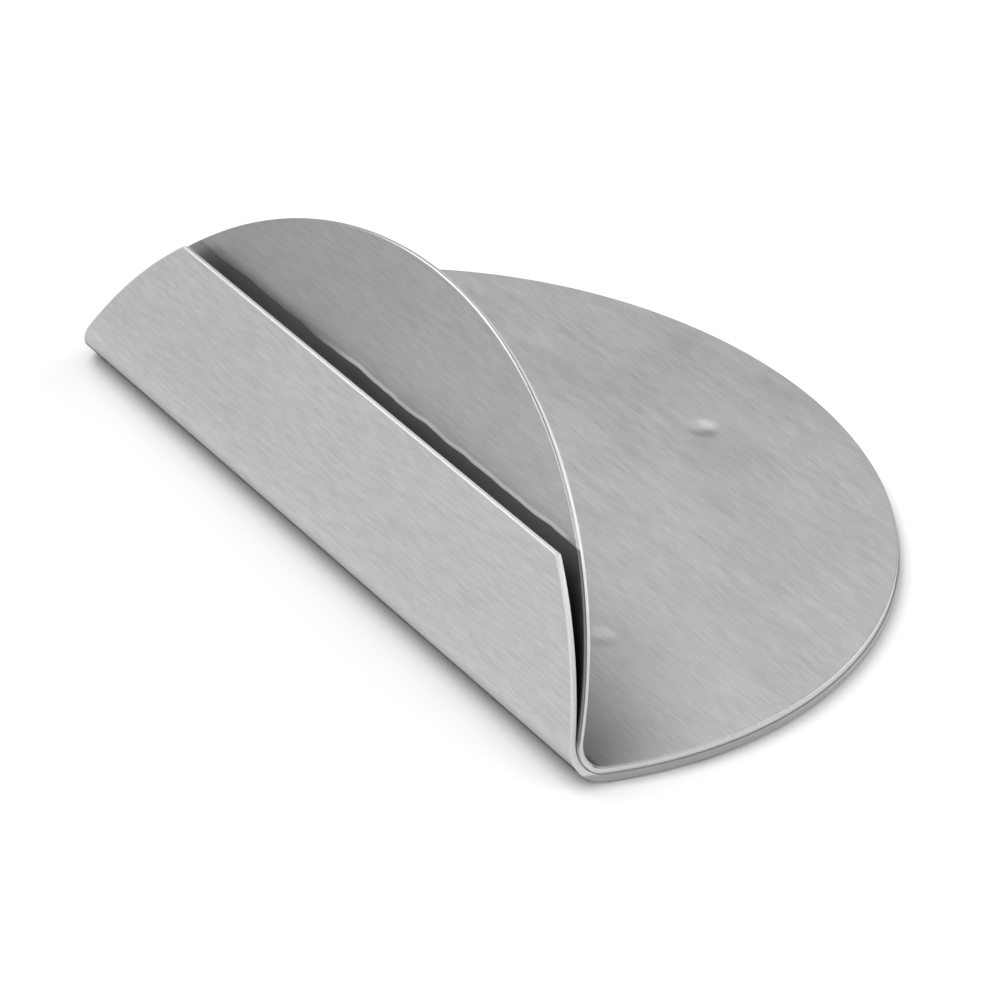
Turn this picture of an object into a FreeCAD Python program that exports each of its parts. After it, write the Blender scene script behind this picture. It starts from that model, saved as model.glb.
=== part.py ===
import FreeCAD, Part
import math
import os

# Floor door holder: two round stainless sheets, each folded along a chord and nested one in
# the other. Millimetres. +Z is up, +Y runs along the fold, and +X runs from the flaps over the
# base. The origin is under the middle of the holder, on the floor.

# Driving dimensions
upper_disc_radius = 50.0    # the blank of the leaf with the tall flap
lower_disc_radius = 50.3    # the other blank is a trace larger and shows as a ledge
sheet = 0.8                 # sheet thickness
fold_offset = 14.5          # from the disc's centre to where its bend starts
inner_bend_radius = 2.0     # inside of the upper leaf's bend
tall_flap_lean = 66.5       # degrees between the tall flap and the floor, leaning over the base
short_flap_lean = 72.5      # degrees between the short flap and the floor
short_flap_height = 15.8    # along the short flap, from its bend to its straight top
edge_break = 0.15           # radius of the deburred outline edges
short_flap_corner = 0.6     # radius of the short flap's two top corners
neutral_line = 0.5          # where the sheet keeps its length in the bend, as a share of it

middle_weld_depth = 49.0    # the middle weld, measured from where the bend starts
middle_weld_aside = 2.0     # it isn't quite on the centreline
side_weld_depth = 13.7      # the two side welds, measured the same way
side_weld_spread = 29.2     # and from the centreline
nugget_radius = 1.3
nugget_height = 0.6         # half in each sheet
mark_radius = 2.0           # electrode marks in the top of the base
middle_mark_depth = 0.18
side_mark_depth = 0.10      # the side welds were pressed less

pad_inset = 0.5             # the pad's edge stays this far inside the rim
pad_thickness = 0.4
adhesive_thickness = 0.1

# Derived places
bend_angle_tall = math.radians(180.0 - tall_flap_lean)
bend_angle_short = math.radians(180.0 - short_flap_lean)
outer_bend_radius = inner_bend_radius + 2.0 * sheet
base_depth = fold_offset + lower_disc_radius
bend_start_x = -(base_depth - outer_bend_radius) / 2.0
disc_centre_x = bend_start_x + fold_offset
steel_bottom_z = pad_thickness + adhesive_thickness
seam_z = steel_bottom_z + sheet
base_top_z = seam_z + sheet
bend_axis_z = base_top_z + inner_bend_radius
whole_rim_area = 2.0 * math.pi * lower_disc_radius * sheet
far_away = 4.0 * lower_disc_radius

os.makedirs("parts", exist_ok=True)


def vec(x, y, z):
    """A point or direction."""
    return FreeCAD.Vector(x, y, z)


def disc(radius, bottom_z, thickness):
    """A flat disc about the blank's centre."""
    return Part.makeCylinder(radius, thickness, vec(disc_centre_x, 0.0, bottom_z))


def slab(low_x, high_x):
    """A block between two x values that reaches past the part in y and z."""
    corner = vec(low_x, -far_away, -far_away)
    return Part.makeBox(high_x - low_x, 2.0 * far_away, 2.0 * far_away, corner)


def bend_length(radius, angle):
    """Sheet length taken by a bend whose inside has this radius."""
    return angle * (radius + neutral_line * sheet)


def end_curve(blank_radius, side, radius, angle, length):
    """The end of one face of a bend, from the base to the flap, on one side of the disc."""
    steps = 12
    points = []
    for step in range(steps + 1):
        share = step / steps
        turn = share * angle
        from_centre = fold_offset + share * length
        half_width = math.sqrt(blank_radius ** 2 - from_centre ** 2)
        x = bend_start_x - radius * math.sin(turn)
        z = bend_axis_z - radius * math.cos(turn)
        points.append(vec(x, side * half_width, z))
    curve = Part.BSplineCurve()
    curve.interpolate(points)
    return curve.toShape()


def end_of(edge, last):
    """The first or last point of an edge."""
    return edge.valueAt(edge.LastParameter if last else edge.FirstParameter)


def bend_solid(blank_radius, radius, angle):
    """The bend between base and flap, as wide as the blank is at each point along it."""
    length = bend_length(radius, angle)
    inner = [end_curve(blank_radius, side, radius, angle, length) for side in (-1, 1)]
    outer = [end_curve(blank_radius, side, radius + sheet, angle, length) for side in (-1, 1)]
    faces = [
        Part.makeRuledSurface(inner[0], inner[1]),
        Part.makeRuledSurface(outer[0], outer[1]),
        Part.makeRuledSurface(inner[0], outer[0]),
        Part.makeRuledSurface(inner[1], outer[1]),
    ]
    for last in (False, True):
        corners = [end_of(edge, last) for edge in (inner[0], inner[1], outer[1], outer[0])]
        faces.append(Part.Face(Part.makePolygon(corners + corners[:1])))
    shell = Part.makeShell(faces)
    shell.sewShape()
    solid = Part.Solid(shell)
    if solid.Volume < 0.0:
        solid.reverse()
    return solid


def flap_solid(blank_radius, radius, angle, bottom_z, height):
    """The part of the disc past the bend, turned up about the bend's axis."""
    length = bend_length(radius, angle)
    start_x = bend_start_x - length
    flat = disc(blank_radius, bottom_z, sheet).common(slab(start_x - height, start_x))
    flat.translate(vec(length, 0.0, 0.0))
    flat.rotate(vec(bend_start_x, 0.0, bend_axis_z), vec(0.0, 1.0, 0.0), math.degrees(angle))
    return flat


def leaf(blank_radius, radius, angle, bottom_z, flap_height):
    """A disc of sheet folded along a chord: base, bend and flap in one solid."""
    base = disc(blank_radius, bottom_z, sheet).common(slab(bend_start_x, far_away))
    bend = bend_solid(blank_radius, radius, angle)
    flap = flap_solid(blank_radius, radius, angle, bottom_z, flap_height)
    return base.fuse([bend, flap]).removeSplitter()


def has_edge(faces, edge):
    """True if one of the faces is bounded by the edge."""
    return any(edge.isSame(other) for face in faces for other in face.Edges)


def deburred(solid):
    """The sheet with its outline rounded off, on both of its broad sides."""
    broad = [face for face in solid.Faces if face.Area > whole_rim_area]
    narrow = [face for face in solid.Faces if face.Area <= whole_rim_area]
    outline = [edge for edge in solid.Edges if has_edge(broad, edge) and has_edge(narrow, edge)]
    return solid.makeFillet(edge_break, outline)


def corners_at_top(solid):
    """The two edges through the sheet's thickness that are highest up."""
    through = [edge for edge in solid.Edges if abs(edge.Length - sheet) < edge_break]
    through.sort(key=lambda edge: edge.CenterOfMass.z)
    return through[-2:]


def weld_centres():
    """Where the three spot welds join the flat parts, by name."""
    side_x = bend_start_x + side_weld_depth
    return {
        "middle": (bend_start_x + middle_weld_depth, -middle_weld_aside),
        "near": (side_x, -side_weld_spread),
        "far": (side_x, side_weld_spread),
    }


def nugget(place):
    """The fused lens of steel at one weld, as a short round slug across the seam."""
    x, y = place
    return Part.makeCylinder(nugget_radius, nugget_height, vec(x, y, seam_z - nugget_height / 2.0))


def electrode_mark(place, depth):
    """The shallow dish that the welding electrode leaves in the top of the base."""
    x, y = place
    floor_z = base_top_z - depth
    ball_radius = (mark_radius ** 2 + depth ** 2) / (2.0 * depth)
    ball = Part.makeSphere(ball_radius, vec(x, y, floor_z + ball_radius))
    return ball.common(Part.makeCylinder(1.5 * mark_radius, 1.5 * depth, vec(x, y, floor_z)))


def upper_leaf():
    """The sheet that the door meets: flat base on top and the tall round flap."""
    whole_flap = 2.0 * upper_disc_radius
    solid = deburred(leaf(upper_disc_radius, inner_bend_radius, bend_angle_tall, seam_z, whole_flap))
    for name, place in weld_centres().items():
        depth = middle_mark_depth if name == "middle" else side_mark_depth
        solid = solid.cut(nugget(place)).cut(electrode_mark(place, depth))
    return solid


def lower_leaf():
    """The sheet underneath, with the short straight-topped flap outside the tall one."""
    inside = inner_bend_radius + sheet
    solid = leaf(lower_disc_radius, inside, bend_angle_short, steel_bottom_z, short_flap_height)
    solid = deburred(solid.makeFillet(short_flap_corner, corners_at_top(solid)))
    for place in weld_centres().values():
        solid = solid.cut(nugget(place))
    return solid


def pad_layer(bottom_z, thickness):
    """A flat layer under the steel, following the rim and stopping short of the bend."""
    layer = disc(lower_disc_radius - pad_inset, bottom_z, thickness)
    return layer.common(slab(bend_start_x + pad_inset, far_away))


def export(name, shape):
    """Write one sub-part and print what it measures."""
    shape.exportStep("parts/" + name + ".step")
    print(name, "solids", len(shape.Solids), "valid", shape.isValid(), "volume", round(shape.Volume, 2))


export("upper_leaf", upper_leaf())
export("lower_leaf", lower_leaf())
for name, place in weld_centres().items():
    export("weld_nugget_" + name, nugget(place))
export("pad_adhesive", pad_layer(pad_thickness, adhesive_thickness))
export("non_slip_pad", pad_layer(0.0, pad_thickness))
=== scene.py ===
import bpy
import math
from collections import namedtuple
from mathutils import Matrix, Vector
from mathutils.geometry import delaunay_2d_cdt


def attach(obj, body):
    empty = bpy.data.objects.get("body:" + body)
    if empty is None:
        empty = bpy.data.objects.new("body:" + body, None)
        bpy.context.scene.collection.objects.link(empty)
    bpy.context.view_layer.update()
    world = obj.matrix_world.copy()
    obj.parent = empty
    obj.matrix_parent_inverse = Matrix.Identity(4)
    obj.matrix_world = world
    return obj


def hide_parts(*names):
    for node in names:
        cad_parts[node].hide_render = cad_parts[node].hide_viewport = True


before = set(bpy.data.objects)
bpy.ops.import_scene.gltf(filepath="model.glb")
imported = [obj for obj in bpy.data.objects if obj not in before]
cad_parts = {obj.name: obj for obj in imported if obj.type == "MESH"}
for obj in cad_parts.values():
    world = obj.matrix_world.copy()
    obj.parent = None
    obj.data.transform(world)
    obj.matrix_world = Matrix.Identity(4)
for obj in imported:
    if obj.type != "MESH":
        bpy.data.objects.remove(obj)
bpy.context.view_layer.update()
scene = bpy.context.scene

# The folded sheets, with the same sizes and places as in part.py but in metres
UPPER_DISC_RADIUS = 0.0500
LOWER_DISC_RADIUS = 0.0503
SHEET = 0.0008
FOLD_OFFSET = 0.0145            # from the disc's centre to where its bend starts
UPPER_INSIDE = 0.0020           # inner radius of the upper leaf's bend
LOWER_INSIDE = UPPER_INSIDE + SHEET
TALL_FLAP_LEAN = 66.5           # degrees between a flap and the floor
SHORT_FLAP_LEAN = 72.5
UPPER_TURN = math.radians(180.0 - TALL_FLAP_LEAN)
LOWER_TURN = math.radians(180.0 - SHORT_FLAP_LEAN)
SHORT_FLAP_HEIGHT = 0.0158
SHORT_FLAP_CORNER = 0.0006
STEEL_BOTTOM_Z = 0.0005
BEND_AXIS_Z = STEEL_BOTTOM_Z + 2.0 * SHEET + UPPER_INSIDE
BEND_START_X = -(FOLD_OFFSET + LOWER_DISC_RADIUS - LOWER_INSIDE - SHEET) / 2.0
POCKET_RADIUS = 0.0013
POCKET_DEPTH = 0.0003
# Each weld's place on the blank: how far past the bend's start, and where along the fold
WELDS = (Vector((0.0490, -0.0020)), Vector((0.0137, -0.0292)), Vector((0.0137, 0.0292)))

# Electrode marks and edge roundings, which differ a little from those in part.py
DISH_RADIUS = 0.0022            # a mark, out to where the sheet is flat again
DISH_DEPTHS = (0.00017, 0.00010, 0.00010)
TOP_EDGE_ROUND = 0.00020
BASE_LOWER_ROUND = 0.00003      # rounding of the cut edge's lower side on the base
FLAP_LOWER_ROUND = 0.00024      # and on a flap, where that side faces outwards

# How finely the leaves are meshed
RIM_STEPS = 420
CLOSEST_STEP_SHARE = 0.4        # a rim step closer to a bend row than this share is left out
CORNER_STEPS = 6
BEND_ROWS = 16
GRID_STEP = 0.004
ROW_END_GAP = 0.0012            # the rows of points stop this far from the rim
WELD_CLEARANCE = 1.3 * DISH_RADIUS
SHADING_HOLD = 0.00008          # a ring this far inside the rounded edge keeps its shading off the flat
EDGE_STEPS = 4
WELD_RING_SHARES = (0.2, 0.4, POCKET_RADIUS / DISH_RADIUS, 0.75, 0.88, 1.0, 1.15)
WELD_RING_STEPS = 36
KEEP_INSIDE = 1                 # the triangulation's option to keep only what the outline encloses
MERGE_DISTANCE = 1e-7

# The two finishes of a sheet, by material number
BROAD_FINISH = 0
CUT_FINISH = 1

# Where the steel's colour changes: painted shade, a painted highlight, darker cut edges near the floor. A
# pair is the stretch over which a change fades.
GAP_SHADE_TOP = 0.01625         # how far up the tall flap the painted shade in the gap reaches
GAP_SHADE_FOOT = (-0.001, 0.0)  # it starts where the flap leaves its bend
GAP_SHADE_END = (0.0290, 0.0385)    # along the fold, at the far end
GAP_LINE_SOFTNESS = 0.00006
GAP_LINE_WOBBLE = 0.00080
GAP_LINE_WAVE = 0.007           # rough length of one wave of that wobble
FACE_STEP = 0.0001              # from the middle of the sheet, to tell its two faces apart
PAINTED_HIGHLIGHT_WIDTH = 0.00045          # the painted highlight just over the painted shade in the gap
PAINTED_HIGHLIGHT_START = (-0.0336, -0.0326)   # along the fold, clear of the flap's cut edge
NEAR_HALF_END = (0.006, 0.014)  # along the fold; the painted highlight reaches up to here
SOFT_SHADE_WIDTH = 0.0006            # half of the soft painted shade over the far half of the gap's painted shade
SOFT_SHADE_SHARE = 0.55
FAR_SHADE_SPREAD = (-0.028, 0.030)    # along the fold, from the near end without painted shade to the darkest far end
FAR_SHADE_RISE = (0.003, 0.009)   # height; only the flaps get this painted shade
# Painted shade in the crease between the base and the tall flap:
CREASE_SHADE_REACH = (0.0, 0.0110)   # over the base, from the fold
CREASE_SHADE_RISE = (0.0035, 0.0060)     # height up the tall flap
UNDER_FOLD_RISE = (0.0022, 0.0026)  # height up to which the underside of the fold gets painted shade
UNDER_FOLD_OUT = (0.0006, 0.0012)   # how far out from the bend's start that begins
LOWER_RIM_RISE = (0.0014, 0.0017)   # height up to which the cut edges are darker
LOWER_RIM_SHARE = 0.85

# The steel's patterns: the size of their grains across the fold and along it
FINE_GRAIN = (0.00036, 0.0030)
COARSE_GRAIN = (0.0013, 0.010)
SPECK_GRAIN = (0.00045, 0.0009)
CLOUD_GRAIN = (0.011, 0.016)
TINT_GRAIN = (0.017, 0.024)
SWELL_GRAIN = (0.024, 0.030)
CUT_GRAIN = (0.00012, 0.00012, 0.0006)  # along x, y and z, on the cut edge
TINT_SPAN = (0.35, 0.65)        # the part of a noise over which a tint changes
SPECK_SPAN = (0.66, 0.78)       # only a noise's peaks show as specks

# How deep those patterns stand out, in metres
FINE_RELIEF = 0.0000022
COARSE_RELIEF = 0.0000012
SWELL_RELIEF = 0.000012
CUT_RELIEF = 0.000004

# Grey levels of the steel, of its painted shade and of its painted highlight, and how much of the sheet's
# own colour some of them cover
COOL_GREY = 0.640
WARM_GREY = 0.660
GRAIN_GREY = 0.48
GRAIN_SHARE = 0.65
SPECK_GREY = 0.40
SPECK_SHARE = 0.25
SPECK_ROUGHNESS = 0.08          # added where a speck is
# Greys of the painted shade (in and above the gap, in the crease, towards the flaps' far end, under the
# fold) and of the painted highlight above the gap
PAINTED_SHADE_GREY = 0.20
PAINTED_HIGHLIGHT_GREY = 0.92
GAP_SHADE_GREY = 0.17
UNDER_FOLD_SHADE_GREY = 0.05
GRAZING_GREY = 0.5              # tint of the reflection at grazing angles

# The flap's face that looks into the gap, where shade is painted: how far the flap is turned up,
# the stretch out from the bend's axis over which the face begins, and how far up the flap the shade reaches
Gap = namedtuple("Gap", "turn face top")


# ---- The folded leaves ----

class Leaf:
    """A round sheet folded along a chord. Its blank is flat: s runs from the bend's start over the
    base, v along the fold, and h up through the sheet from its lower side."""

    def __init__(self, radius, inside, turn, flap_height=None):
        self.radius = radius
        self.inside = inside
        self.turn = turn
        self.bend_length = turn * (inside + SHEET / 2.0)
        self.top = None if flap_height is None else -(self.bend_length + flap_height)

    def folded(self, s, v, h):
        """Where a point of the blank is after folding."""
        radius = self.inside + SHEET - h
        turned = min(max(-s / self.bend_length, 0.0), 1.0) * self.turn
        past = max(-s - self.bend_length, 0.0)
        x = BEND_START_X + max(s, 0.0) - radius * math.sin(turned) - past * math.cos(turned)
        z = BEND_AXIS_Z - radius * math.cos(turned) + past * math.sin(turned)
        return (x, v, z)

    def bend_rows(self):
        """The s values that the mesh follows across the bend."""
        return [-self.bend_length * step / BEND_ROWS for step in range(BEND_ROWS + 1)]

    def arc(self, last_angle):
        """The blank's round edge, from minus this angle to this angle about the disc's centre."""
        angles = [last_angle * (2.0 * step / RIM_STEPS - 1.0) for step in range(RIM_STEPS + 1)]
        at_rows = [math.acos((s - FOLD_OFFSET) / self.radius) for s in self.bend_rows()]
        at_rows += [-angle for angle in at_rows]
        closest = CLOSEST_STEP_SHARE * (angles[1] - angles[0])
        angles = [a for a in angles if all(abs(a - row) > closest for row in at_rows)] + at_rows
        edge = []
        for angle in sorted(angles):
            out = direction(angle)
            edge.append((Vector((FOLD_OFFSET, 0.0)) + self.radius * out, out))
        return edge

    def outline(self):
        """The blank's edge, anticlockwise, as pairs of a point and its outward direction."""
        if self.top is None:
            return self.arc(math.pi)[:-1]
        corner_s = self.top + SHORT_FLAP_CORNER
        to_corner = self.radius - SHORT_FLAP_CORNER
        corner_v = math.sqrt(to_corner ** 2 - (corner_s - FOLD_OFFSET) ** 2)
        corner_angle = math.atan2(corner_v, corner_s - FOLD_OFFSET)
        corners = {1.0: [], -1.0: []}
        for side, corner in corners.items():
            for step in range(1, CORNER_STEPS + 1):
                angle = corner_angle + (math.pi - corner_angle) * step / CORNER_STEPS
                out = direction(side * angle)
                corner.append((Vector((corner_s, side * corner_v)) + SHORT_FLAP_CORNER * out, out))
        straight = []
        steps = int(2.0 * corner_v / GRID_STEP)
        for step in range(1, steps):
            place = Vector((self.top, corner_v * (1.0 - 2.0 * step / steps)))
            straight.append((place, Vector((-1.0, 0.0))))
        return self.arc(corner_angle) + corners[1.0] + straight + corners[-1.0][::-1]


def direction(angle):
    """The unit vector at this angle from +s towards +v."""
    return Vector((math.cos(angle), math.sin(angle)))


def nearest_weld(place):
    """The weld nearest to a point of the blank, and how far off it is."""
    weld = min(WELDS, key=lambda weld: (place - weld).length)
    return weld, (place - weld).length


def dish(place):
    """How far the electrodes pressed the top of the base down at a point of the blank."""
    weld, distance = nearest_weld(place)
    depth = DISH_DEPTHS[WELDS.index(weld)]
    return depth * (0.5 + 0.5 * math.cos(math.pi * min(distance / DISH_RADIUS, 1.0)))


def row_of_points(radius, s):
    """Points along the fold at one s, clear of the rim and of the welds."""
    half_width = math.sqrt(radius ** 2 - (s - FOLD_OFFSET) ** 2) - ROW_END_GAP
    steps = max(2, 2 * int(half_width / GRID_STEP))
    row = [Vector((s, half_width * (2.0 * step / steps - 1.0))) for step in range(steps + 1)]
    return [place for place in row if nearest_weld(place)[1] > WELD_CLEARANCE]


def flat_rows(leaf, ring):
    """The s values of the rows of points over the base and over the flap."""
    left = min(point.x for point in ring) + ROW_END_GAP
    right = max(point.x for point in ring) - ROW_END_GAP
    flap_start = -leaf.bend_length
    base_count = int(right / GRID_STEP)
    flap_count = int((flap_start - left) / GRID_STEP)
    rows = [GRID_STEP * step for step in range(1, base_count + 1)]
    return rows + [flap_start - GRID_STEP * step for step in range(1, flap_count + 1)]


def blank_points(leaf, ring):
    """The points that one broad side is meshed from, the ring's first, and the lines that its
    triangles must follow."""
    points = list(ring)
    lines = [(i, (i + 1) % len(ring)) for i in range(len(ring))]
    for s in flat_rows(leaf, ring):
        points += row_of_points(leaf.radius, s)
    for s in leaf.bend_rows():
        row = row_of_points(leaf.radius, s)
        first = len(points)
        last = first + len(row) - 1
        points += row
        lines += [(i, i + 1) for i in range(first, last)]
        for end in (first, last):
            lines.append((end, min(range(len(ring)), key=lambda i: (points[i] - points[end]).length)))
    for weld in WELDS:
        points.append(weld)
        for share in WELD_RING_SHARES:
            first = len(points)
            for step in range(WELD_RING_STEPS):
                out = direction(2.0 * math.pi * step / WELD_RING_STEPS)
                points.append(weld + share * DISH_RADIUS * out)
            lines += [(first + i, first + (i + 1) % WELD_RING_STEPS) for i in range(WELD_RING_STEPS)]
    return points, lines


def edge_angles():
    """The angles that a rounded edge is meshed at."""
    return [0.5 * math.pi * step / EDGE_STEPS for step in range(EDGE_STEPS + 1)]


class LeafMesh:
    """Gathers the vertices and faces of one folded leaf."""

    def __init__(self, leaf):
        self.leaf = leaf
        self.edge = leaf.outline()
        self.vertices = []
        self.faces = []
        self.finishes = []

    def vertex(self, place, h):
        """Adds a point of the blank at height h, folded, and returns its number."""
        self.vertices.append(self.leaf.folded(place.x, place.y, h))
        return len(self.vertices) - 1

    def face(self, corners, finish, flipped=False):
        """Adds one face."""
        self.faces.append(corners[::-1] if flipped else corners)
        self.finishes.append(finish)

    def band(self, upper, lower, finish):
        """Adds the faces between two rings round the edge."""
        for i in range(len(upper)):
            j = (i + 1) % len(upper)
            self.face([upper[i], lower[i], lower[j], upper[j]], finish)

    def broad_side(self, height, pocket_floor, flipped):
        """Adds the top or the bottom of the sheet, and returns its outer ring. With a pocket floor,
        the weld pockets are sunk to that height."""
        inset = TOP_EDGE_ROUND + SHADING_HOLD
        ring = [place - inset * out for place, out in self.edge]
        points, lines = blank_points(self.leaf, ring)
        result = delaunay_2d_cdt(points, lines, [], KEEP_INSIDE, MERGE_DISTANCE)
        flat = result[0]
        triangles = result[2]
        ids = {}

        def number(i, sunk):
            if (i, sunk) not in ids:
                ids[i, sunk] = self.vertex(flat[i], pocket_floor if sunk else height(flat[i]))
            return ids[i, sunk]

        for corners in triangles:
            middle = sum((flat[i] for i in corners), Vector((0.0, 0.0))) / 3.0
            sunk = pocket_floor is not None and nearest_weld(middle)[1] < POCKET_RADIUS
            self.face([number(i, sunk) for i in corners], BROAD_FINISH, flipped)
        self.pocket_walls(flat, ids, flipped)
        return [ids[i, False] for i in range(len(ring))]

    def pocket_walls(self, flat, ids, flipped):
        """Adds the walls of the weld pockets, between the points that are there twice."""
        walls = [i for i, sunk in ids if sunk and (i, False) in ids]
        for weld in WELDS:
            rim = [i for i in walls if nearest_weld(flat[i])[0] is weld]
            rim.sort(key=lambda i: (flat[i] - weld).angle_signed(Vector((1.0, 0.0))))
            for i, j in zip(rim, rim[1:] + rim[:1]):
                self.face([ids[i, False], ids[j, False], ids[j, True], ids[i, True]], CUT_FINISH, flipped)

    def lower_round(self, place):
        """The radius of the cut edge's lower rounding at a point of the outline."""
        share = min(max(-place.x / self.leaf.bend_length, 0.0), 1.0)
        return BASE_LOWER_ROUND + share * (FLAP_LOWER_ROUND - BASE_LOWER_ROUND)

    def cut_edge(self, top_ring, bottom_ring, round_finish):
        """Adds the edge between the two broad sides, with its roundings in this finish."""
        above = top_ring
        for angle in edge_angles():
            inset = TOP_EDGE_ROUND * (1.0 - math.sin(angle))
            height = SHEET - TOP_EDGE_ROUND * (1.0 - math.cos(angle))
            below = [self.vertex(place - inset * out, height) for place, out in self.edge]
            self.band(above, below, round_finish)
            above = below
        for angle in edge_angles():
            below = []
            for place, out in self.edge:
                radius = self.lower_round(place)
                inset = radius * (1.0 - math.cos(angle))
                below.append(self.vertex(place - inset * out, radius * (1.0 - math.sin(angle))))
            self.band(above, below, CUT_FINISH if angle == 0.0 else round_finish)
            above = below
        self.band(above, bottom_ring, BROAD_FINISH)

    def to_object(self, name, materials):
        """The leaf as one smooth-shaded object."""
        mesh = bpy.data.meshes.new(name)
        mesh.from_pydata(self.vertices, [], self.faces)
        for material in materials:
            mesh.materials.append(material)
        mesh.polygons.foreach_set("material_index", self.finishes)
        mesh.polygons.foreach_set("use_smooth", [True] * len(mesh.polygons))
        mesh.update()
        piece = bpy.data.objects.new(name, mesh)
        scene.collection.objects.link(piece)
        return piece


# ---- Materials ----

class Look:
    """A material with one Principled shader, and short calls for the nodes that feed it."""

    def __init__(self, name, metallic=0.0, anisotropy=0.0):
        self.material = bpy.data.materials.new(name)
        self.material.use_nodes = True
        self.tree = self.material.node_tree
        self.shader = self.tree.nodes["Principled BSDF"]
        self.shader.inputs["Metallic"].default_value = metallic
        self.shader.inputs["Anisotropic"].default_value = anisotropy
        self.place = self.tree.nodes.new("ShaderNodeTexCoord").outputs["Object"]
        if anisotropy > 0.0:
            across = self.tree.nodes.new("ShaderNodeTangent")
            across.direction_type = "RADIAL"
            across.axis = "Y"
            self.feed(self.shader, {"Tangent": across.outputs[0]})
        self.relief = None

    def node(self, kind, inputs):
        """A new node with its inputs set or linked, by name or number."""
        node = self.tree.nodes.new(kind)
        self.feed(node, inputs)
        return node

    def feed(self, node, inputs):
        """Sets or links a node's inputs."""
        for key, value in inputs.items():
            if isinstance(value, bpy.types.NodeSocket):
                self.tree.links.new(value, node.inputs[key])
            else:
                node.inputs[key].default_value = value

    def noise(self, sizes, detail=2.0, roughness=0.5, shift=0.0):
        """Noise from 0 to 1 whose grains have these sizes in metres along x, y and z. The shift
        picks another part of the pattern."""
        scale = tuple(1.0 / size for size in sizes)
        placed = self.node("ShaderNodeMapping", {
            "Vector": self.place, "Scale": scale, "Location": (shift, shift, shift)})
        return self.node("ShaderNodeTexNoise", {
            "Vector": placed.outputs[0], "Scale": 1.0, "Detail": detail,
            "Roughness": roughness}).outputs["Fac"]

    def fit(self, value, low, high, to_low, to_high):
        """The value stretched from low..high to another range, and held inside it."""
        return self.node("ShaderNodeMapRange", {
            0: value, 1: low, 2: high, 3: to_low, 4: to_high}).outputs[0]

    def rising(self, value, stretch):
        """0 before the stretch, 1 past it, and between the two inside it."""
        return self.fit(value, stretch[0], stretch[1], 0.0, 1.0)

    def falling(self, value, stretch):
        """1 before the stretch, 0 past it, and between the two inside it."""
        return self.fit(value, stretch[0], stretch[1], 1.0, 0.0)

    def spread(self, noise, to_low, to_high):
        """Noise with most of its range stretched to another one."""
        return self.fit(noise, 0.3, 0.7, to_low, to_high)

    def maths(self, operation, first, second):
        """One sum, product or the like of two values."""
        node = self.node("ShaderNodeMath", {0: first, 1: second})
        node.operation = operation
        return node.outputs[0]

    def mixed(self, share, first, second):
        """A colour between two colours."""
        node = self.tree.nodes.new("ShaderNodeMix")
        node.data_type = "RGBA"
        self.feed(node, {0: share, 6: first, 7: second})
        return node.outputs[2]

    def along(self, origin, axis):
        """How far the surface lies from a point, measured along a direction."""
        moved = self.node("ShaderNodeVectorMath", {0: self.place, 1: origin})
        moved.operation = "SUBTRACT"
        dot = self.node("ShaderNodeVectorMath", {0: moved.outputs[0], 1: axis})
        dot.operation = "DOT_PRODUCT"
        return dot.outputs["Value"]

    def height_above_floor(self):
        """How high the surface lies."""
        return self.along((0.0, 0.0, 0.0), (0.0, 0.0, 1.0))

    def along_fold(self):
        """How far the surface lies along the fold, from the middle."""
        return self.along((0.0, 0.0, 0.0), (0.0, 1.0, 0.0))

    def bump(self, height, depth):
        """Adds relief: height 1 stands this many metres above height 0."""
        node = self.node("ShaderNodeBump", {"Height": height, "Distance": depth})
        if self.relief is not None:
            self.feed(node, {"Normal": self.relief})
        self.relief = node.outputs[0]

    def finish(self, colour, roughness):
        """Links the results to the shader and returns the material."""
        self.feed(self.shader, {"Base Color": colour, "Roughness": roughness, "Normal": self.relief})
        return self.material


def grey(level, warmth=0.0):
    """An opaque grey, a little warmer than neutral or cooler."""
    return (level * (1.0 + warmth), level, level * (1.0 - warmth), 1.0)


def even(size):
    """Grain sizes for a noise that is the same in all directions."""
    return (size, size, size)


def brushed(width, length):
    """Grain sizes for a noise that is drawn out along the fold."""
    return (width, length, width)


def gap_mask(look, gap, top, softness=GAP_LINE_SOFTNESS):
    """1 on the face of a flap that looks into the gap, up to a wavy line along the fold, else 0. It places
    the painted shade in the gap and the painted highlight and soft shade just above it.
    """
    axis_place = (BEND_START_X, 0.0, BEND_AXIS_Z)
    up_flap = look.along(axis_place, (-math.cos(gap.turn), 0.0, math.sin(gap.turn)))
    outward = look.along(axis_place, (-math.sin(gap.turn), 0.0, -math.cos(gap.turn)))
    wobble = look.fit(look.noise((1.0, GAP_LINE_WAVE, 1.0), shift=5.0), 0.0, 1.0, -0.5, 0.5)
    height = look.maths("ADD", up_flap, look.maths("MULTIPLY", wobble, GAP_LINE_WOBBLE))
    mask = look.falling(height, (top - softness, top + softness))
    mask = look.maths("MULTIPLY", mask, look.rising(up_flap, GAP_SHADE_FOOT))
    mask = look.maths("MULTIPLY", mask, look.rising(outward, gap.face))
    return look.maths("MULTIPLY", mask, look.falling(look.along_fold(), GAP_SHADE_END))


def crease_shade_mask(look):
    """1 in the crease between the base and the tall flap, fading out over the base: where shade is painted.
    """
    from_fold = look.along((BEND_START_X, 0.0, 0.0), (1.0, 0.0, 0.0))
    low_down = look.falling(look.height_above_floor(), CREASE_SHADE_RISE)
    return look.maths("MULTIPLY", look.falling(from_fold, CREASE_SHADE_REACH), low_down)


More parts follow.
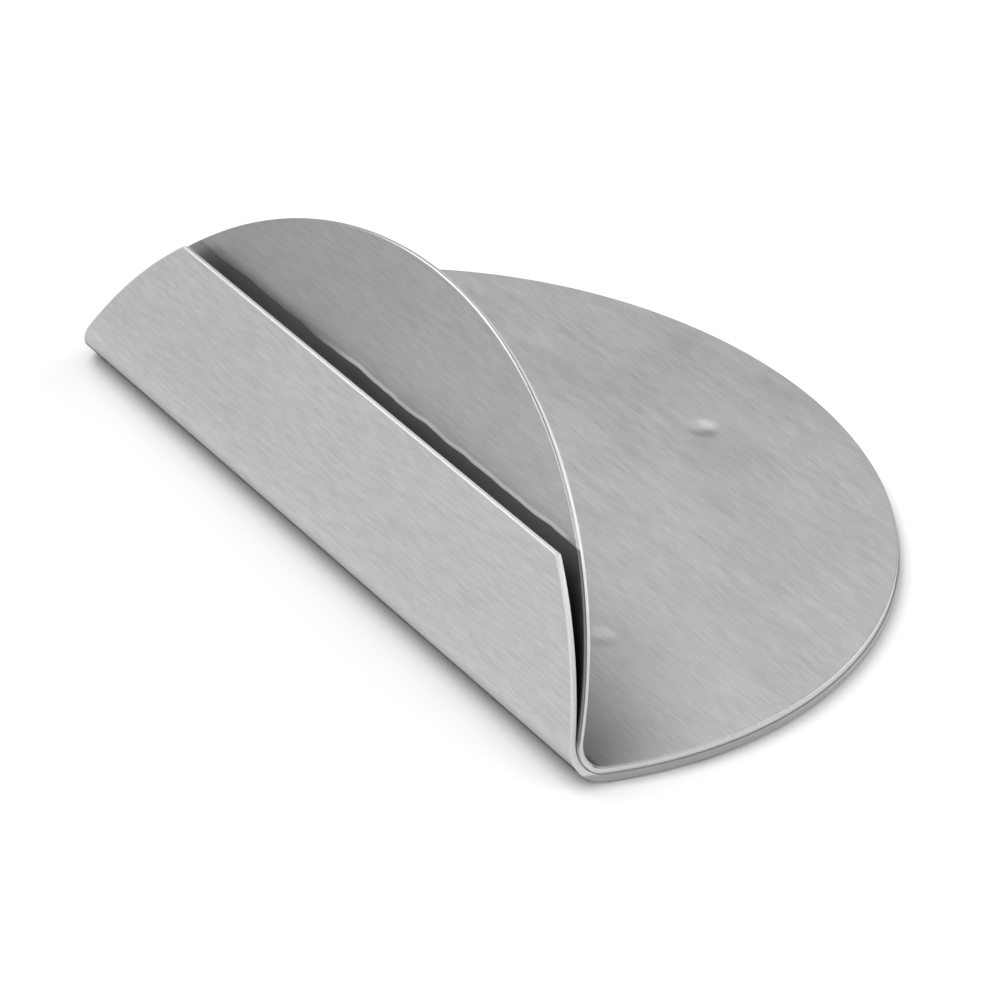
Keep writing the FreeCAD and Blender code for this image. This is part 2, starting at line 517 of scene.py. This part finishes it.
def under_fold_shade_mask(look):
    """1 on the outside of the bend where it turns under, towards the floor, else 0: where shade is painted.
    """
    outward = look.along((BEND_START_X, 0.0, 0.0), (-1.0, 0.0, 0.0))
    low_down = look.falling(look.height_above_floor(), UNDER_FOLD_RISE)
    return look.maths("MULTIPLY", low_down, look.rising(outward, UNDER_FOLD_OUT))


def far_shade_mask(look, most):
    """Painted shade that grows along the flaps, from 0 at the near end to its most at the far end."""
    far_share = look.fit(look.along_fold(), FAR_SHADE_SPREAD[0], FAR_SHADE_SPREAD[1], 0.0, most)
    return look.maths("MULTIPLY", far_share, look.rising(look.height_above_floor(), FAR_SHADE_RISE))


def with_painted_gap_light(look, colour, gap):
    """The colour with painted shade on the face inside the gap, a painted highlight just above it over
    its near half, and soft painted shade above it over its far half."""
    near_half = look.falling(look.along_fold(), NEAR_HALF_END)
    # Painted highlight: the short flap's top edge reflected just above the painted shade, on its near half
    painted_highlight = gap_mask(look, gap, gap.top + PAINTED_HIGHLIGHT_WIDTH)
    painted_highlight = look.maths("MULTIPLY", painted_highlight, look.rising(look.along_fold(), PAINTED_HIGHLIGHT_START))
    colour = look.mixed(look.maths("MULTIPLY", painted_highlight, near_half), colour, grey(PAINTED_HIGHLIGHT_GREY))
    # Soft painted shade just above the gap's painted shade, on its far half
    soft_shade = gap_mask(look, gap, gap.top + SOFT_SHADE_WIDTH, SOFT_SHADE_WIDTH)
    soft_shade = look.maths("MULTIPLY", soft_shade, look.fit(near_half, 0.0, 1.0, SOFT_SHADE_SHARE, 0.0))
    colour = look.mixed(soft_shade, colour, grey(PAINTED_SHADE_GREY))
    # Painted shade on the flap's face inside the gap
    return look.mixed(gap_mask(look, gap, gap.top), colour, grey(GAP_SHADE_GREY))


def with_far_and_crease_shade(look, colour, far_shade, crease_shade):
    """The colour with painted shade growing towards the flaps' far end and painted shade in the crease."""
    # Painted shade growing towards the flaps' far end
    colour = look.mixed(far_shade_mask(look, far_shade), colour, grey(PAINTED_SHADE_GREY))
    # Painted shade in the crease
    crease_share = look.maths("MULTIPLY", crease_shade_mask(look), crease_shade)
    return look.mixed(crease_share, colour, grey(PAINTED_SHADE_GREY))


def brushed_steel(name, shift, painted_light_scale, far_shade, crease_shade, gap):
    """Rolled stainless sheet with a fine brushed grain along the fold and faint handling marks,
    made lighter or darker by a painted light scale, with painted shade in and above the gap, in the
    crease, towards the flaps' far end and under the fold, and a painted highlight above the gap."""
    look = Look(name, metallic=1.0, anisotropy=0.8)
    look.shader.inputs["Specular Tint"].default_value = grey(GRAZING_GREY)
    fine = look.noise(brushed(*FINE_GRAIN), detail=3.0, roughness=0.6, shift=shift)
    coarse = look.noise(brushed(*COARSE_GRAIN), detail=3.0, roughness=0.55, shift=shift + 3.1)
    cloud = look.noise(brushed(*CLOUD_GRAIN), detail=3.0, roughness=0.55, shift=shift + 7.3)
    tint = look.noise(brushed(*TINT_GRAIN), detail=2.0, shift=shift + 11.9)
    speck = look.noise(brushed(*SPECK_GRAIN), detail=2.0, shift=shift + 17.7)
    swell = look.noise(brushed(*SWELL_GRAIN), detail=1.0, shift=shift + 23.0)
    marks = look.rising(speck, SPECK_SPAN)
    # The painted light scale makes a lit or a shaded copy of the same steel
    cool = grey(COOL_GREY * painted_light_scale, warmth=-0.012)
    warm = grey(WARM_GREY * painted_light_scale, warmth=0.020)
    colour = look.mixed(look.rising(tint, TINT_SPAN), cool, warm)
    colour = look.mixed(look.spread(fine, 0.0, GRAIN_SHARE), colour, grey(GRAIN_GREY * painted_light_scale))
    colour = look.mixed(look.maths("MULTIPLY", marks, SPECK_SHARE), colour, grey(SPECK_GREY))
    colour = with_far_and_crease_shade(look, colour, far_shade, crease_shade)
    colour = with_painted_gap_light(look, colour, gap)
    # Painted shade on the underside of the fold
    colour = look.mixed(under_fold_shade_mask(look), colour, grey(UNDER_FOLD_SHADE_GREY))
    roughness = look.spread(cloud, 0.36, 0.40)
    roughness = look.maths("ADD", roughness, look.spread(coarse, -0.012, 0.018))
    roughness = look.maths("ADD", roughness, look.maths("MULTIPLY", marks, SPECK_ROUGHNESS))
    look.bump(swell, SWELL_RELIEF)
    look.bump(coarse, COARSE_RELIEF)
    look.bump(fine, FINE_RELIEF)
    return look.finish(colour, roughness)


def cut_steel(name, shift, rim_level):
    """The sheared edge of the sheet: duller, with marks across its thickness. Close to the floor
    it's darker, towards the grey of this level."""
    look = Look(name, metallic=0.4)
    fine = look.noise(CUT_GRAIN, detail=3.0, roughness=0.6, shift=shift)
    cloud = look.noise(even(0.003), detail=2.0, shift=shift + 5.0)
    colour = look.mixed(fine, grey(0.54), grey(0.72))
    at_rim = look.fit(look.height_above_floor(), LOWER_RIM_RISE[0], LOWER_RIM_RISE[1], LOWER_RIM_SHARE, 0.0)
    colour = look.mixed(at_rim, colour, grey(rim_level))
    look.bump(fine, CUT_RELIEF)
    return look.finish(colour, look.spread(cloud, 0.38, 0.50))


def weld_steel():
    """The cast, heat-tinted metal of a weld nugget."""
    look = Look("weld_metal", metallic=1.0)
    grains = look.noise(even(0.0003), detail=4.0, roughness=0.65)
    tint = look.noise(even(0.0012), detail=2.0, shift=4.0)
    bare = (0.40, 0.39, 0.38, 1.0)
    straw = (0.46, 0.40, 0.33, 1.0)
    colour = look.mixed(look.rising(tint, TINT_SPAN), bare, straw)
    look.bump(grains, 0.00002)
    return look.finish(colour, look.spread(grains, 0.42, 0.62))


def adhesive_film():
    """The milky, slightly tacky film that holds the pad."""
    look = Look("adhesive_film")
    ripple = look.noise(even(0.0012), detail=3.0)
    cloud = look.noise(even(0.006), detail=2.0, shift=2.0)
    colour = look.mixed(cloud, (0.70, 0.69, 0.64, 1.0), (0.80, 0.79, 0.76, 1.0))
    look.bump(ripple, 0.00001)
    return look.finish(colour, look.spread(ripple, 0.40, 0.58))


def pad_rubber():
    """Thin grey rubber with a fine moulded grain and a little dust."""
    look = Look("pad_rubber_grain")
    cell_size = 0.0007
    cells = look.node("ShaderNodeTexVoronoi", {"Vector": look.place, "Scale": 1.0 / cell_size})
    grain = look.noise(even(0.00018), detail=3.0, roughness=0.6)
    dust = look.noise(even(0.009), detail=4.0, roughness=0.6, shift=3.0)
    clean = (0.28, 0.28, 0.285, 1.0)
    dusty = (0.36, 0.355, 0.345, 1.0)
    colour = look.mixed(look.rising(dust, (0.42, 0.75)), clean, dusty)
    look.bump(cells.outputs["Distance"], 0.00006)
    look.bump(grain, 0.00001)
    return look.finish(colour, look.spread(dust, 0.66, 0.82))


# ---- The pieces ----

def build_upper_leaf():
    """The sheet with the tall flap, which stands for its CAD node."""
    leaf = LeafMesh(Leaf(UPPER_DISC_RADIUS, UPPER_INSIDE, UPPER_TURN))
    top = leaf.broad_side(lambda place: SHEET - dish(place), None, False)
    bottom = leaf.broad_side(lambda place: 0.0, POCKET_DEPTH, True)
    leaf.cut_edge(top, bottom, BROAD_FINISH)
    middle = UPPER_INSIDE + SHEET / 2.0
    # The tall flap's face in the gap gets painted shade, with a painted highlight and soft painted shade
    # above it
    gap = Gap(UPPER_TURN, (middle, middle + FACE_STEP), GAP_SHADE_TOP)
    # Painted light: the upper sheet's steel is a shaded copy, set darker
    broad = brushed_steel("upper_brushed", shift=0.0, painted_light_scale=0.975, far_shade=0.31, crease_shade=0.40,
                          gap=gap)
    cut = cut_steel("upper_cut", shift=0.0, rim_level=0.60)
    piece = leaf.to_object("upper_leaf_sheet", [broad, cut])
    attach(piece, "root")
    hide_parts("upper_leaf")


def build_lower_leaf():
    """The sheet with the short flap, which stands for its CAD node."""
    leaf = LeafMesh(Leaf(LOWER_DISC_RADIUS, LOWER_INSIDE, LOWER_TURN, SHORT_FLAP_HEIGHT))
    top = leaf.broad_side(lambda place: SHEET, SHEET - POCKET_DEPTH, False)
    bottom = leaf.broad_side(lambda place: 0.0, None, True)
    leaf.cut_edge(top, bottom, CUT_FINISH)
    middle = LOWER_INSIDE + SHEET / 2.0
    # The short flap's face in the gap gets painted shade
    gap = Gap(LOWER_TURN, (middle, middle - FACE_STEP), SHORT_FLAP_HEIGHT)
    # Painted light: the lower sheet's steel is a lit copy, set lighter
    broad = brushed_steel("lower_brushed", shift=31.0, painted_light_scale=1.08, far_shade=0.09, crease_shade=0.0,
                          gap=gap)
    cut = cut_steel("lower_cut", shift=31.0, rim_level=0.28)
    piece = leaf.to_object("lower_leaf_sheet", [broad, cut])
    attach(piece, "root")
    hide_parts("lower_leaf")


def dress_node(name, material):
    """Gives a CAD node's own object a better material."""
    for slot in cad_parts[name].material_slots:
        slot.material = material


def build_small_parts():
    """Materials for the CAD nodes that stay as they are."""
    weld = weld_steel()
    for name in ("weld_nugget_middle", "weld_nugget_near", "weld_nugget_far"):
        dress_node(name, weld)
    dress_node("pad_adhesive", adhesive_film())
    dress_node("non_slip_pad", pad_rubber())


# ---- Stage, light and camera ----

CAMERA_TARGET = Vector((-0.01608, -0.00898, 0.00750))
CAMERA_AZIMUTH = math.radians(-39.51)
CAMERA_ELEVATION = math.radians(33.32)
CAMERA_ROLL = math.radians(5.834)
CAMERA_DISTANCE = 0.51304
CAMERA_LENS = 170.39

FLOOR_HALF_WIDTH = 4.0
ROOM_STRENGTH = 0.13
SOFTBOX_SIZE = 0.66
SOFTBOX_DISTANCE = 0.9
# Each soft box's name, azimuth and elevation in degrees, and radiance
SOFTBOXES = (
    ("far_end", 90.0, 58.0, 1.2),
    ("far_side", 90.0, 19.0, 0.7),
    ("far_corner", 115.0, 54.0, 2.65),
    ("flap_side", 180.0, 40.0, 1.2),
    ("flap_corner", 225.0, 42.0, 1.7),
    ("near_side", 270.0, 28.0, 0.9),
    ("near_corner", 315.0, 40.0, 1.3),
    ("door_side", 20.0, 35.0, 0.32),
    ("rim_side", -10.0, 18.0, 2.1),
)


def place_camera():
    """A long lens from over the short flap, at its near end."""
    side = Vector((math.cos(CAMERA_AZIMUTH), math.sin(CAMERA_AZIMUTH), 0.0))
    back = Vector((math.sin(CAMERA_AZIMUTH) * math.cos(CAMERA_ELEVATION),
                   -math.cos(CAMERA_AZIMUTH) * math.cos(CAMERA_ELEVATION),
                   math.sin(CAMERA_ELEVATION)))
    up = back.cross(side)
    rolled_side = math.cos(CAMERA_ROLL) * side + math.sin(CAMERA_ROLL) * up
    rolled_up = back.cross(rolled_side)
    data = bpy.data.cameras.new("camera")
    data.sensor_width = 36.0
    data.lens = CAMERA_LENS
    data.clip_start = 0.01
    data.clip_end = 20.0
    camera = bpy.data.objects.new("camera", data)
    turn = Matrix((rolled_side, rolled_up, back)).transposed().to_4x4()
    camera.matrix_world = Matrix.Translation(CAMERA_TARGET + CAMERA_DISTANCE * back) @ turn
    scene.collection.objects.link(camera)
    scene.camera = camera


def floor_paint():
    """Pale matt paint, very slightly uneven."""
    look = Look("floor_paint")
    cloud = look.noise(even(0.05), detail=2.0)
    look.bump(cloud, 0.00001)
    colour = look.mixed(cloud, grey(0.90), grey(0.93))
    return look.finish(colour, look.fit(cloud, 0.0, 1.0, 0.8, 0.9))


def build_floor():
    """A wide pale floor."""
    half = FLOOR_HALF_WIDTH
    corners = [(-half, -half, 0.0), (half, -half, 0.0), (half, half, 0.0), (-half, half, 0.0)]
    mesh = bpy.data.meshes.new("floor")
    mesh.from_pydata(corners, [], [(0, 1, 2, 3)])
    mesh.materials.append(floor_paint())
    floor = bpy.data.objects.new("floor", mesh)
    scene.collection.objects.link(floor)


def softbox(name, azimuth, elevation, radiance):
    """A square area light over the holder, its azimuth in degrees from +X towards +Y."""
    around = math.radians(azimuth)
    above = math.radians(elevation)
    away = Vector((math.cos(around) * math.cos(above),
                   math.sin(around) * math.cos(above),
                   math.sin(above)))
    data = bpy.data.lights.new(name, "AREA")
    data.shape = "SQUARE"
    data.size = SOFTBOX_SIZE
    data.energy = math.pi * SOFTBOX_SIZE ** 2 * radiance
    light = bpy.data.objects.new(name, data)
    turn = away.to_track_quat("Z", "Y").to_matrix().to_4x4()
    light.matrix_world = Matrix.Translation(SOFTBOX_DISTANCE * away) @ turn
    scene.collection.objects.link(light)


def light_studio():
    """Soft boxes round the holder in a dim room."""
    world = bpy.data.worlds.new("studio")
    world.use_nodes = True
    background = world.node_tree.nodes["Background"]
    background.inputs["Color"].default_value = grey(1.0)
    background.inputs["Strength"].default_value = ROOM_STRENGTH
    scene.world = world
    for name, azimuth, elevation, radiance in SOFTBOXES:
        softbox(name, azimuth, elevation, radiance)
    scene.view_settings.view_transform = "Standard"


build_upper_leaf()
build_lower_leaf()
build_small_parts()
build_floor()
light_studio()
place_camera()
